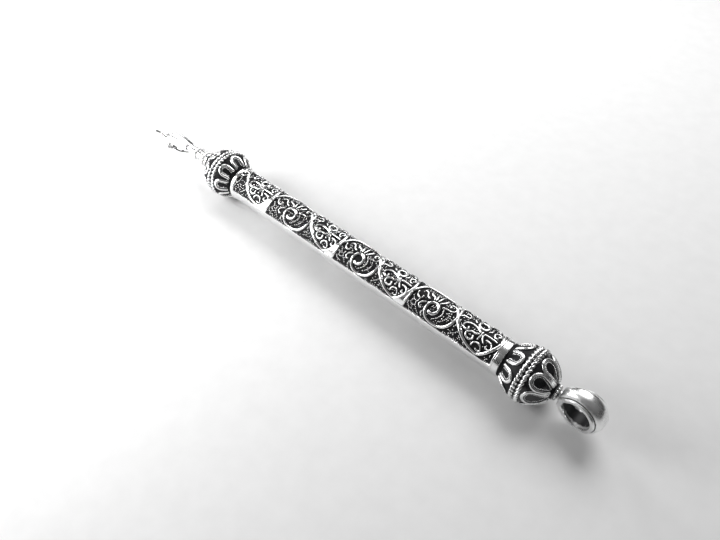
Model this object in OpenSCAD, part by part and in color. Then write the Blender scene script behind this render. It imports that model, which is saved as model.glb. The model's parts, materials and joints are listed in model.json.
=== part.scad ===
// Slender round case with a filigree tube, a ball at each end, a pointing hand and a swivel bail.
// Lengths in millimetres. The case lies along X on its two balls: bail towards +X, hand towards -X.
// The origin is at the middle of the bottom of its box, and +Z is up.

/* [Tube] */
// Length of the tube
tube_len = 65.6; // [65.5:0.1:80]
// Outer diameter of the bare tube, under its scrollwork
tube_d = 6.2; // [6:0.1:8]
// Diameter of the hollow that holds the parchment
bore_d = 5.5; // [5:0.1:5.6]
// Height of the scrollwork above the bare tube
relief_h = 0.3; // [0.2:0.05:0.5]
// Height of the plain seam strip above the bare tube
strip_h = 0.25; // [0.15:0.05:0.4]
// Width of the plain ring at the tube's far end
rim_w = 0.9; // [0.6:0.1:1.5]
// Width of the plain ferrule at the tube's mouth
ferrule_w = 1.5; // [1:0.1:2.5]
// Height of the ring and the ferrule above the bare tube
rim_h = 0.4; // [0.3:0.05:0.6]
// Part of the tube's round that the plain strip covers, in degrees
strip_angle = 62; // [30:1:90]
// How far the strip reaches above the side of the tube, in degrees
strip_above = 12; // [0:1:30]

/* [Balls] */
// Outer diameter of each ball, over its rope wires
ball_d = 10.2; // [10:0.1:12]
// Wall of the two domes that make a ball
dome_wall = 0.5; // [0.3:0.05:0.8]
// How far the wires stand above the domes
wire_proud = 0.35; // [0.2:0.05:0.5]
// Diameter of each rope wire round a ball
rope_d = 0.9; // [0.7:0.05:1]
// Number of petals on each dome
petal_count = 8; // [6:1:8]
// Diameter of the wire that a petal is bent from
petal_wire_d = 0.6; // [0.5:0.05:0.7]
// Radius of a petal's round end
petal_r = 0.95; // [0.8:0.05:1]
// Radius of the round end of the wider petals next to the bail
wide_petal_r = 1.2; // [1:0.05:1.25]
// Height of the collar between the tube and each ball
collar_len = 0.6; // [0.4:0.1:0.8]

/* [Cap] */
// Depth of the cap's plug in the tube
plug_len = 3.2; // [2:0.1:3.5]
// Radial play of the plug in the tube
plug_play = 0.03; // [0.02:0.01:0.08]

/* [Parchment] */
// Length of the rolled parchment
scroll_len = 60; // [50:1:60]
// Diameter of the rolled parchment
scroll_d = 4.9; // [4:0.1:5]
// Diameter of the hollow down its middle
scroll_core_d = 1.6; // [1:0.1:2.5]

/* [Bail] */
// Diameter of the bail's round hole
bail_hole_d = 4.8; // [4.6:0.1:5]
// Wall of the bail at its rims and its foot
bail_wall = 0.9; // [0.7:0.05:1.2]
// Diameter across the dome of the bail's band
bail_dome_d = 8.2; // [7:0.1:9]
// Width of the bail at its crown
bail_crown_w = 5.2; // [4:0.1:6]
// Width of the bail next to the ball
bail_foot_w = 2.6; // [2.4:0.1:3]
// Diameter of the pin that the bail swivels on
pin_d = 0.8; // [0.7:0.05:0.9]
// Radial play of the bail on its pin
pin_play = 0.05; // [0.03:0.01:0.08]

/* [Hand] */
// Length from the wrist ring to the tip of the finger
hand_len = 15.2; // [12:0.1:18]
// Diameter of the wrist
wrist_d = 2.3; // [2:0.1:2.6]

/* [Hidden] */
$fn = 64;

tube_r = tube_d / 2;
bore_r = bore_d / 2;
ball_r = ball_d / 2;
shell_r = ball_r - wire_proud;
shell_in_r = shell_r - dome_wall;

// Small gap that keeps faces on different bodies from touching
face_gap = 0.05;

// The far end: plug disc, collar, ball, cup, sleeve, rings and hand, as places along X
disc_len = 1.2;
stem_r = 1;
far_cut = shell_r * 0.82;
far_ball_x = -collar_len - far_cut;
far_collar_r = sqrt(shell_r * shell_r - far_cut * far_cut);
cup_x = far_ball_x - far_cut;
cup_len = 2.7;
cup_mouth_r = 2.6;
cup_foot_r = 1.5;
ring_wire_r = 0.4;
cup_ring_r = 1.4;
cup_ring_x = cup_x - cup_len - ring_wire_r;
sleeve_r = 1.25;
sleeve_end_x = cup_ring_x - 2.4;
wrist_ring_r = 1.1;
wrist_ring_x = sleeve_end_x - ring_wire_r;
hand_x = wrist_ring_x - ring_wire_r;

// The near end: plug, collar, ball, granules, neck bead, pin and bail
near_cut = shell_r * 0.75;
cap_face_x = tube_len + face_gap;
near_ball_x = cap_face_x + collar_len + near_cut;
near_collar_r = sqrt(shell_r * shell_r - near_cut * near_cut);
plug_r = bore_r - plug_play;
plug_in_r = 2.2;
pole_cut = shell_r * 0.95;
pole_x = near_ball_x + pole_cut;
pole_r = sqrt(shell_r * shell_r - pole_cut * pole_cut);
pole_plate_len = 0.45;
bead_r = 0.85;
bead_len = 1.35;
bead_end_x = pole_x + bead_len;
granule_r = 0.27;
granule_ring_r = pole_r - granule_r;
granule_count = 12;
granule_sink = 0.05;
pin_r = pin_d / 2;
bail_foot_x = bead_end_x + face_gap;
bail_hole_r = bail_hole_d / 2;
bail_r = bail_hole_r + bail_wall;
bail_dome_r = bail_dome_d / 2;
foot_flat = 0.62;
foot_outer_flat = 0.95;
hole_tip_back = 2.7;
bail_x = bail_foot_x + bail_wall + hole_tip_back;
pin_head_r = 0.5;
pin_head_len = 0.22;
pin_tail_len = 1.2;

// Ropes and petals on a ball
rope_r = rope_d / 2;
rope_gap = 0.04;
rope_off = rope_r + rope_gap / 2;
rope_path_r = ball_r - rope_r;
petal_wire_r = petal_wire_d / 2;
petal_path_r = ball_r - petal_wire_r - 0.05;
petal_lat = 30;
petal_end_lat = 45;
wide_petal_lat = 35;
wide_petal_end_lat = 46;

// How each ring of petals is turned about the tube's own axis, in degrees
far_inner_turn = 32;
far_outer_turn = 10;
cap_inner_turn = 19;
cap_outer_turn = 37;

// The hand's limbs, each a list of places from the wrist ring and the limb's radius there.
// They are laid out for one length of hand, and stretch along X with hand_len.
laid_out_len = 15.2;
hand_stretch = hand_len / laid_out_len;
tip_r = 0.34;
tip_back = (hand_len - tip_r) / hand_stretch;
palm = [
    [[[0, 0, 0], wrist_d / 2], [[-1.6, 0, 0], 0.98], [[-3.2, 0, 0.05], 1.05]],
    [[[-3, -0.5, 0.05], 0.95], [[-6.2, -1, 0.2], 0.85], [[-8.6, -1.3, 0.25], 0.72]],
    [[[-3, -0.1, 0.1], 0.95], [[-6.4, -0.35, 0.3], 0.85], [[-8.9, -0.45, 0.35], 0.74]],
    [[[-3, 0.2, 0.05], 0.95], [[-6.2, 0.35, 0.2], 0.82], [[-8.6, 0.45, 0.25], 0.7]],
    [[[-3, 0.5, 0], 0.9], [[-5.8, 0.95, 0], 0.76], [[-8, 1.25, 0.05], 0.62]],
    [[[-3.6, -0.8, -0.5], 0.85], [[-6.2, -1.2, -0.8], 0.8]],
    [[[-3.6, 0.8, -0.4], 0.8], [[-6.6, 1.1, -0.6], 0.7]]
];
pointing_finger = [[[-8.6, -1.3, 0.25], 0.66], [[-11.3, -1.13, 0.07], 0.56], [[-13.4, -0.95, -0.48], 0.47],
    [[-tip_back, -0.82, -0.98], tip_r]];
folded_fingers = [
    [[[-8.9, -0.42, 0.3], 0.68], [[-10.7, -0.42, -0.9], 0.58], [[-9.5, -0.42, -2.2], 0.53],
        [[-8, -0.42, -2.1], 0.46]],
    [[[-8.6, 0.5, 0.2], 0.64], [[-10.3, 0.52, -0.9], 0.55], [[-9.1, 0.52, -2.15], 0.5],
        [[-7.7, 0.5, -2.05], 0.44]],
    [[[-8, 1.3, 0], 0.57], [[-9.5, 1.36, -0.95], 0.49], [[-8.5, 1.34, -2], 0.45],
        [[-7.3, 1.3, -1.9], 0.4]]
];
thumb = [[[-3.9, -1.1, -0.5], 0.8], [[-5.8, -1.95, -1], 0.68], [[-7.8, -1.98, -1.5], 0.57],
    [[-9.6, -1.35, -1.95], 0.44]];

// The whole case
tip_x = hand_x - hand_len;
end_x = bail_x + bail_dome_r;
mid_x = (tip_x + end_x) / 2;

// Angles round the tube are counted from straight down towards +Y
strip_from = -90 - strip_above;
sleeve_from = strip_from + strip_angle;

// Places a child, built along +Z, on the tube's axis at x and turns it to point along +X
module on_axis(x) {
    translate([x - mid_x, 0, ball_r]) rotate([0, 90, 0]) children();
}

// Places a child, built with its own X along the tube, on the tube's axis at x
module beside_axis(x) {
    translate([x - mid_x, 0, ball_r]) children();
}

module ring(r_out, r_in, len) {
    difference() {
        cylinder(r = r_out, h = len);
        translate([0, 0, -1]) cylinder(r = r_in, h = len + 2);
    }
}

module wire_ring(path_r, wire_r) {
    rotate_extrude() translate([path_r, 0]) circle(r = wire_r, $fn = 32);
}

// A curved plate: part of a ring, from one angle through another
module curved_plate(r_out, r_in, len, from, sweep) {
    rotate([0, 0, from])
        rotate_extrude(angle = sweep)
            translate([r_in, 0]) square([r_out - r_in, len]);
}

// A half ball shell from its equator at z = 0 up to a flat cut, with a hole in the cut face
module dome(cut, hole_r) {
    difference() {
        intersection() {
            sphere(r = shell_r);
            cylinder(r = shell_r + 1, h = cut);
        }
        sphere(r = shell_in_r);
        cylinder(r = hole_r, h = cut + 1);
    }
}

// A wire that runs up the ball from one latitude to another
module meridian_wire(from_lat, to_lat) {
    rotate([90, 0, 0])
        rotate([0, 0, from_lat])
            rotate_extrude(angle = to_lat - from_lat)
                translate([petal_path_r, 0]) circle(r = petal_wire_r, $fn = 24);
}

// One U of wire, its round end towards the equator and its legs towards the pole
module petal(r, lat, end_lat) {
    leg_turn = atan2(r, petal_path_r * cos(lat));
    rotate([0, 90 - lat, 0])
        translate([0, 0, petal_path_r])
            rotate([0, 0, -90])
                rotate_extrude(angle = 180)
                    translate([r, 0]) circle(r = petal_wire_r, $fn = 24);
    for (side = [-1, 1]) rotate([0, 0, side * leg_turn]) meridian_wire(lat - 1, end_lat);
}

module petal_ring(turn) {
    for (i = [0 : petal_count - 1]) rotate([0, 0, turn + i * 360 / petal_count])
        petal(petal_r, petal_lat, petal_end_lat);
}

module wide_petal_ring(turn) {
    for (i = [0 : petal_count - 1]) rotate([0, 0, turn + i * 360 / petal_count])
        petal(wide_petal_r, wide_petal_lat, wide_petal_end_lat);
}

// Outline of the bail: a circle with a flat foot towards -X, joined by tangent lines
module bail_outline(r, foot_back, flat) {
    reach = sqrt(foot_back * foot_back + flat * flat);
    touch = 180 - atan2(flat, foot_back) - acos(r / reach);
    circle(r = r);
    polygon([
        [-foot_back, flat],
        [-foot_back, -flat],
        [r * cos(touch), -r * sin(touch)],
        [r * cos(touch), r * sin(touch)]
    ]);
}

// A place on the hand, moved along X by the hand's stretch
function stretched(p) = [p[0] * hand_stretch, p[1], p[2]];

// A finger bone: two balls and what lies between them
module bone(p, p_r, q, q_r) {
    hull() {
        translate(p) sphere(r = p_r, $fn = 20);
        translate(q) sphere(r = q_r, $fn = 20);
    }
}

// A finger through a list of joints, each with its place and its radius
module finger(joints) {
    for (i = [0 : len(joints) - 2])
        bone(stretched(joints[i][0]), joints[i][1], stretched(joints[i + 1][0]), joints[i + 1][1]);
}

module tube() {
    color("dimgray") on_axis(0) ring(tube_r, bore_r, tube_len);
}

module end_plug() {
    color("gray") {
        on_axis(0) cylinder(r = bore_r, h = disc_len);
        on_axis(sleeve_end_x) cylinder(r = stem_r, h = -sleeve_end_x);
    }
}

module scrollwork_sleeve() {
    color("lightgray") on_axis(rim_w)
        curved_plate(tube_r + relief_h, tube_r, tube_len - rim_w - ferrule_w,
            sleeve_from, 360 - strip_angle);
}

module seam_strip() {
    color("silver") on_axis(rim_w)
        curved_plate(tube_r + strip_h, tube_r, tube_len - rim_w - ferrule_w, strip_from, strip_angle);
}

module far_rim_ring() {
    color("silver") on_axis(0) ring(tube_r + rim_h, tube_r, rim_w);
}

module mouth_ferrule() {
    color("silver") on_axis(tube_len - ferrule_w) ring(tube_r + rim_h, tube_r, ferrule_w);
}

module far_collar() {
    color("dimgray") on_axis(-collar_len) ring(far_collar_r, stem_r, collar_len);
}

module far_inner_dome() {
    color("dimgray") on_axis(far_ball_x) dome(far_cut, stem_r);
}

module far_outer_dome() {
    color("dimgray") on_axis(far_ball_x) mirror([0, 0, 1]) dome(far_cut, stem_r);
}

module far_inner_rope() {
    color("silver") on_axis(far_ball_x + rope_off) wire_ring(rope_path_r, rope_r);
}

module far_outer_rope() {
    color("silver") on_axis(far_ball_x - rope_off) wire_ring(rope_path_r, rope_r);
}

module far_inner_petals() {
    color("silver") on_axis(far_ball_x) petal_ring(far_inner_turn);
}

module far_outer_petals() {
    color("silver") on_axis(far_ball_x) mirror([0, 0, 1]) petal_ring(far_outer_turn);
}

// A bell with a hollow flank, wide towards the ball
module bell_cup() {
    flank = cup_mouth_r - cup_foot_r;
    color("dimgray") on_axis(cup_x) mirror([0, 0, 1]) difference() {
        rotate_extrude() difference() {
            square([cup_mouth_r, cup_len]);
            translate([cup_mouth_r, cup_len]) circle(r = flank);
        }
        translate([0, 0, -1]) cylinder(r = stem_r, h = cup_len + 2);
    }
}

module cup_ring() {
    color("silver") on_axis(cup_ring_x) union() {
        wire_ring(cup_ring_r, ring_wire_r);
        translate([0, 0, -ring_wire_r]) ring(cup_ring_r, stem_r, 2 * ring_wire_r);
    }
}

module wrist_sleeve() {
    color("silver") on_axis(sleeve_end_x)
        ring(sleeve_r, stem_r, cup_ring_x - ring_wire_r - sleeve_end_x);
}

module wrist_ring() {
    color("silver") on_axis(wrist_ring_x) union() {
        wire_ring(wrist_ring_r, ring_wire_r);
        translate([0, 0, -ring_wire_r]) cylinder(r = wrist_ring_r, h = 2 * ring_wire_r);
    }
}

// A right hand, palm down: the index finger points along -X, the others curl under
module pointing_hand() {
    block = 10;
    color("gainsboro") beside_axis(hand_x) difference() {
        union() {
            for (limb = concat(palm, folded_fingers, [pointing_finger, thumb])) finger(limb);
        }
        translate([0, -block / 2, -block / 2]) cube(block);
    }
}

module cap_plug() {
    color("gray") on_axis(cap_face_x - plug_len) ring(plug_r, plug_in_r, plug_len + collar_len);
}

module cap_collar() {
    color("dimgray") on_axis(cap_face_x) ring(near_collar_r, plug_r, collar_len);
}

module cap_inner_dome() {
    color("dimgray") on_axis(near_ball_x) mirror([0, 0, 1]) dome(near_cut, plug_in_r);
}

module cap_outer_dome() {
    color("dimgray") on_axis(near_ball_x) dome(pole_cut, pin_r);
}

module cap_inner_rope() {
    color("silver") on_axis(near_ball_x - rope_off) wire_ring(rope_path_r, rope_r);
}

module cap_outer_rope() {
    color("silver") on_axis(near_ball_x + rope_off) wire_ring(rope_path_r, rope_r);
}

module cap_inner_petals() {
    color("silver") on_axis(near_ball_x) mirror([0, 0, 1]) petal_ring(cap_inner_turn);
}

module cap_outer_petals() {
    color("silver") on_axis(near_ball_x) wide_petal_ring(cap_outer_turn);
}

// Small balls in a ring round the edge of the plate under the neck bead
module pole_granules() {
    color("silver") on_axis(pole_x + pole_plate_len + granule_r - granule_sink)
        for (i = [0 : granule_count - 1]) rotate([0, 0, i * 360 / granule_count])
            translate([granule_ring_r, 0, 0]) sphere(r = granule_r, $fn = 24);
}

// A round plate on the ball's pole with a waisted stem that ends in a lip
module neck_bead() {
    lip = 0.3;
    color("silver") on_axis(pole_x) difference() {
        union() {
            cylinder(r = pole_r, h = pole_plate_len);
            cylinder(r = bead_r * 0.8, h = bead_len);
            translate([0, 0, bead_len - lip]) cylinder(r = bead_r, h = lip);
        }
        translate([0, 0, -1]) cylinder(r = pin_r, h = bead_len + 2);
    }
}

module swivel_pin() {
    tail_x = pole_x - pin_tail_len;
    head_x = bail_foot_x + bail_wall + face_gap / 2;
    color("silver") {
        on_axis(tail_x) cylinder(r = pin_r, h = head_x - tail_x);
        on_axis(head_x) cylinder(r = pin_head_r, h = pin_head_len);
    }
}

// A barrel about the bail's hole, cut from a ball in short steps
module bail_dome() {
    steps = 12;
    half = bail_crown_w / 2;
    edge = acos(half / bail_dome_r);
    rotate([90, 0, 0]) rotate_extrude() polygon(concat(
        [[0, half], [0, -half]],
        [for (i = [0 : steps]) let (a = edge - 90 + i * (180 - 2 * edge) / steps)
            [bail_dome_r * cos(a), bail_dome_r * sin(a)]]
    ));
}

// A domed band bent round a hole that runs along Y, wide at its crown and narrow at its foot
module bail() {
    over = 1;
    reach = bail_dome_d + over;
    taper = (bail_crown_w - bail_foot_w) / (end_x - bail_foot_x) / 2;
    foot = bail_foot_x - bail_x;
    color("silver") beside_axis(bail_x) difference() {
        intersection() {
            union() {
                rotate([90, 0, 0]) linear_extrude(bail_crown_w, center = true)
                    bail_outline(bail_r, -foot, foot_outer_flat);
                bail_dome();
            }
            linear_extrude(reach, center = true) polygon([
                [foot, -bail_foot_w / 2],
                [bail_dome_r + over, -bail_crown_w / 2 - over * taper],
                [bail_dome_r + over, bail_crown_w / 2 + over * taper],
                [foot, bail_foot_w / 2]
            ]);
        }
        rotate([90, 0, 0]) linear_extrude(bail_crown_w + over, center = true)
            bail_outline(bail_hole_r, hole_tip_back, foot_flat);
        translate([foot - over, 0, 0]) rotate([0, 90, 0])
            cylinder(r = pin_r + pin_play, h = over + bail_wall + 0.5);
    }
}

module parchment_scroll() {
    start = disc_len + 0.6;
    color("wheat") on_axis(start) ring(scroll_d / 2, scroll_core_d / 2, scroll_len);
}

tube();
end_plug();
scrollwork_sleeve();
seam_strip();
far_rim_ring();
mouth_ferrule();
far_collar();
far_inner_dome();
far_outer_dome();
far_inner_rope();
far_outer_rope();
far_inner_petals();
far_outer_petals();
bell_cup();
cup_ring();
wrist_sleeve();
wrist_ring();
pointing_hand();
cap_plug();
cap_collar();
cap_inner_dome();
cap_outer_dome();
cap_inner_rope();
cap_outer_rope();
cap_inner_petals();
cap_outer_petals();
pole_granules();
neck_bead();
swivel_pin();
bail();
parchment_scroll();
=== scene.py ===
"""A filigree silver scroll case with a pointing hand, a pull-off cap and a swivel bail.

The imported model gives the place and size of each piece. The looks are drawn here inside those, in
millimetres, and scaled to metres as each mesh is made. The case lies on its two balls, along X.
"""

import json
import math
import random

import bmesh
import bpy
import numpy as np
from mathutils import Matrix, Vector, kdtree


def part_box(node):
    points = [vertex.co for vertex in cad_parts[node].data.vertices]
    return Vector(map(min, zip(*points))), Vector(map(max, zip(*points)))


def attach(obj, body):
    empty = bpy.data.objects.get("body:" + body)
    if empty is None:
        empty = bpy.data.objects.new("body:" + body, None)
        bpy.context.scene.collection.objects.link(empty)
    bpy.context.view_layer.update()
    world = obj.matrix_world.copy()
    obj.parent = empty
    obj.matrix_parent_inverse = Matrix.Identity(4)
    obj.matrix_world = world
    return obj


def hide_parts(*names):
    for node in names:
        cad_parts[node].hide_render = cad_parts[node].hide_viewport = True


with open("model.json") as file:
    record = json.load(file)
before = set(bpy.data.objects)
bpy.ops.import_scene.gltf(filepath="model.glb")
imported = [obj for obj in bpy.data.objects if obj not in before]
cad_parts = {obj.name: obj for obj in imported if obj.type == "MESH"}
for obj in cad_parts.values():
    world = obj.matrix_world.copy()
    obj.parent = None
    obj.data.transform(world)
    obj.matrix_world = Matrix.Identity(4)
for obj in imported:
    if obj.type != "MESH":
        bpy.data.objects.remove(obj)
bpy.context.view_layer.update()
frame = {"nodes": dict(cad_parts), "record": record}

MM = 0.001
TAU = 2 * math.pi


# ---- Places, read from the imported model, in millimetres ----

def node_box(node):
    """The lowest and highest corners of a CAD node, in millimetres."""
    low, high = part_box(node)
    return np.array(low) / MM, np.array(high) / MM


tube_low, tube_high = node_box("tube")
AXIS_Z = (tube_low[2] + tube_high[2]) / 2
TUBE_R = (tube_high[1] - tube_low[1]) / 2
TUBE_START = tube_low[0]
RELIEF_R = node_box("scrollwork_sleeve")[1][2] - AXIS_Z
RELIEF = RELIEF_R - TUBE_R
WORK_START = node_box("scrollwork_sleeve")[0][0]
WORK_END = node_box("scrollwork_sleeve")[1][0]
RIM_R = node_box("mouth_ferrule")[1][2] - AXIS_Z


def ball_of(inner_rope, outer_rope):
    """Middle and radius of a ball, from the two ropes on its equator."""
    first, second = node_box(inner_rope), node_box(outer_rope)
    low = min(first[0][0], second[0][0])
    high = max(first[1][0], second[1][0])
    return (low + high) / 2, (first[1][1] - first[0][1]) / 2


FAR_BALL_X, BALL_R = ball_of("far_inner_rope", "far_outer_rope")
NEAR_BALL_X, _ = ball_of("cap_inner_rope", "cap_outer_rope")
SHELL_R = (node_box("far_inner_dome")[1][1] - node_box("far_inner_dome")[0][1]) / 2


# ---- Camera and light ----

def aim(obj, position, target):
    """Puts an object at a position and turns its -Z towards the target, both in millimetres."""
    place, goal = Vector(position) * MM, Vector(target) * MM
    obj.location = place
    obj.rotation_euler = (goal - place).to_track_quat("-Z", "Y").to_euler()


# The viewpoint, in degrees and millimetres
AZIMUTH, ELEVATION, DISTANCE, LENS = 41.8, 49.1, 120.2, 32.5
TARGET = Vector((7.6, -1.6, AXIS_Z))

# Lamps: name, place, target, diameter in millimetres and power in watts. The left one stands where
# the back of the hand mirrors it towards the viewpoint.
LAMPS = [
    ("key", (-20, 155, 180), (10, 0, 0), 190, 0.42),
    ("left", (-185, 75, 125), (-45, 0, 0), 110, 0.14),
    ("side", (-100, -75, 55), (-50, -20, 0), 100, 0.21),
]
SKY_STRENGTH, HORIZON_SHADE, FULL_SKY_FROM = 0.15, 0.15, 0.75


def make_camera():
    """A camera that looks at the case from the viewer's side."""
    azimuth, elevation = math.radians(AZIMUTH), math.radians(ELEVATION)
    back = Vector((
        math.sin(azimuth) * math.cos(elevation),
        -math.cos(azimuth) * math.cos(elevation),
        math.sin(elevation),
    ))
    data = bpy.data.cameras.new("camera")
    data.lens = LENS
    data.sensor_width = 36
    data.clip_start = 0.005
    data.clip_end = 20
    camera = bpy.data.objects.new("camera", data)
    bpy.context.scene.collection.objects.link(camera)
    aim(camera, TARGET + back * DISTANCE, TARGET)
    bpy.context.scene.camera = camera


def make_lamp(name, position, target, size, power):
    """A round area light."""
    data = bpy.data.lights.new(name, "AREA")
    data.shape = "DISK"
    data.size = size * MM
    data.energy = power
    light = bpy.data.objects.new(name, data)
    bpy.context.scene.collection.objects.link(light)
    aim(light, position, target)


def make_world():
    """A dim sky that fades towards the horizon."""
    world = bpy.data.worlds.new("studio")
    bpy.context.scene.world = world
    world.use_nodes = True
    nodes, links = world.node_tree.nodes, world.node_tree.links
    nodes.clear()
    out = nodes.new("ShaderNodeOutputWorld")
    sky = nodes.new("ShaderNodeBackground")
    sky.inputs["Strength"].default_value = SKY_STRENGTH
    where = nodes.new("ShaderNodeTexCoord")
    split = nodes.new("ShaderNodeSeparateXYZ")
    ramp = nodes.new("ShaderNodeValToRGB")
    ramp.color_ramp.elements[0].position = 0.0
    ramp.color_ramp.elements[0].color = (HORIZON_SHADE, HORIZON_SHADE, HORIZON_SHADE, 1)
    ramp.color_ramp.elements[1].position = FULL_SKY_FROM
    ramp.color_ramp.elements[1].color = (1, 1, 1, 1)
    links.new(where.outputs["Generated"], split.inputs[0])
    links.new(split.outputs["Z"], ramp.inputs["Fac"])
    links.new(ramp.outputs["Color"], sky.inputs["Color"])
    links.new(sky.outputs[0], out.inputs["Surface"])


make_camera()
make_world()
for lamp in LAMPS:
    make_lamp(*lamp)


# ---- Materials ----

GRAIN_DEPTH = 0.02 * MM


class Shader:
    """A node material under construction."""

    def __init__(self, name):
        self.material = bpy.data.materials.new(name)
        self.material.use_nodes = True
        self.nodes = self.material.node_tree.nodes
        self.links = self.material.node_tree.links
        self.surface = self.nodes["Principled BSDF"]
        self.coords = self.add("ShaderNodeTexCoord").outputs["Object"]

    def add(self, kind, **values):
        node = self.nodes.new(kind)
        for key, value in values.items():
            setattr(node, key, value)
        return node

    def put(self, socket, value):
        """Sets a socket to a number or colour, or links it to another socket."""
        if isinstance(value, bpy.types.NodeSocket):
            self.links.new(value, socket)
        else:
            socket.default_value = value

    def noise(self, scale, detail=3, stretch=(1, 1, 1)):
        """Noise in the object's own space, in cells per metre."""
        mapping = self.add("ShaderNodeMapping")
        self.put(mapping.inputs["Vector"], self.coords)
        mapping.inputs["Scale"].default_value = stretch
        noise = self.add("ShaderNodeTexNoise")
        self.put(noise.inputs["Vector"], mapping.outputs[0])
        noise.inputs["Scale"].default_value = scale
        noise.inputs["Detail"].default_value = detail
        return noise.outputs["Fac"]

    def math(self, operation, a, b=0.0):
        node = self.add("ShaderNodeMath", operation=operation)
        self.put(node.inputs[0], a)
        self.put(node.inputs[1], b)
        return node.outputs[0]

    def ramp(self, value, stops):
        """A colour ramp through (place, grey or colour) stops."""
        node = self.add("ShaderNodeValToRGB")
        elements = node.color_ramp.elements
        while len(elements) < len(stops):
            elements.new(0.5)
        for element, (place, shade) in zip(elements, stops):
            element.position = place
            element.color = (shade, shade, shade, 1) if isinstance(shade, float) else (*shade, 1)
        self.put(node.inputs["Fac"], value)
        return node.outputs["Color"]

    def mix(self, factor, a, b):
        node = self.add("ShaderNodeMix", data_type="RGBA")
        self.put(node.inputs["Factor"], factor)
        self.put(node.inputs["A"], a)
        self.put(node.inputs["B"], b)
        return node.outputs["Result"]

    def bump(self, height, strength):
        """Sets the surface's fine relief."""
        node = self.add("ShaderNodeBump")
        self.put(node.inputs["Height"], height)
        node.inputs["Distance"].default_value = GRAIN_DEPTH
        node.inputs["Strength"].default_value = strength
        self.put(self.surface.inputs["Normal"], node.outputs[0])

    def attribute(self, name):
        return self.add("ShaderNodeAttribute", attribute_name=name).outputs["Fac"]


def bright_silver(name, patina_and_shade=False, roughness=(0.14, 0.3)):
    """Polished silver with hairline scratches, faint tarnish and, if asked, black from a vertex value:
    oxide in its recesses, and on the hand painted shade as well.
    """
    s = Shader(name)
    s.put(s.surface.inputs["Metallic"], 1.0)
    scratches = s.noise(2600, 4, (0.25, 1.6, 1.0))
    cloud = s.noise(420, 3)
    clean = s.ramp(cloud, [(0.3, 0.85), (0.7, 0.96)])
    rough = s.ramp(s.math("ADD", s.math("MULTIPLY", scratches, 0.5), s.math("MULTIPLY", cloud, 0.5)),
                   [(0.35, roughness[0]), (0.65, roughness[1])])
    if patina_and_shade:
        # Oxide in recesses, and on the hand painted shade too.
        depth = s.attribute("patina_and_shade")
        worn = s.math("ADD", depth, s.math("MULTIPLY", s.math("SUBTRACT", s.noise(1900, 2), 0.5), 0.35))
        mask = s.ramp(worn, [(0.42, 0.0), (0.75, 1.0)])
        s.put(s.surface.inputs["Base Color"], s.mix(mask, clean, (0.008, 0.008, 0.009, 1)))
        s.put(s.surface.inputs["Roughness"], s.mix(mask, rough, (0.4, 0.4, 0.4, 1)))
        s.put(s.surface.inputs["Metallic"], s.math("SUBTRACT", 1.0, mask))
        s.surface.inputs["Specular IOR Level"].default_value = 0.2
    else:
        s.put(s.surface.inputs["Base Color"], clean)
        s.put(s.surface.inputs["Roughness"], rough)
    pits = s.math("MULTIPLY", s.ramp(s.noise(1500, 2), [(0.28, 0.0), (0.4, 1.0)]), 1.5)
    s.bump(s.math("ADD", s.math("ADD", scratches, s.noise(900, 2)), pits), 0.4)
    return s.material


def black_silver(name, gloss=False):
    """Silver blackened by oxidation, with a slight grain."""
    s = Shader(name)
    grain = s.noise(2400, 4)
    s.put(s.surface.inputs["Base Color"],
          s.ramp(grain, [(0.35, (0.004, 0.004, 0.005)), (0.72, (0.022, 0.022, 0.024))]))
    s.surface.inputs["Specular IOR Level"].default_value = 0.6 if gloss else 0.15
    low, high = (0.12, 0.24) if gloss else (0.38, 0.6)
    s.put(s.surface.inputs["Roughness"], s.ramp(grain, [(0.3, low), (0.7, high)]))
    s.bump(grain, 0.5)
    return s.material


def parchment_material():
    """Cream parchment with mottling and a fine tooth."""
    s = Shader("parchment")
    mottle = s.noise(260, 5)
    s.put(s.surface.inputs["Base Color"],
          s.ramp(mottle, [(0.3, (0.62, 0.52, 0.36)), (0.7, (0.84, 0.77, 0.62))]))
    s.put(s.surface.inputs["Roughness"], s.ramp(mottle, [(0.3, 0.6), (0.7, 0.8)]))
    s.bump(s.noise(3500, 4), 0.4)
    return s.material


def floor_material():
    """A pale matt table top."""
    s = Shader("floor")
    s.put(s.surface.inputs["Base Color"], s.ramp(s.noise(300, 3), [(0.3, 0.83), (0.7, 0.86)]))
    s.put(s.surface.inputs["Roughness"], 0.75)
    return s.material


SILVER = bright_silver("bright_silver")
WORKED = bright_silver("worked_silver", patina_and_shade=True)
BLACK = black_silver("blackened_silver")
WORN = bright_silver("worn_silver", patina_and_shade=True, roughness=(0.22, 0.4))
GLOSS_BLACK = black_silver("glossy_black_silver", gloss=True)
PARCHMENT = parchment_material()


# ---- Mesh making ----

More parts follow.
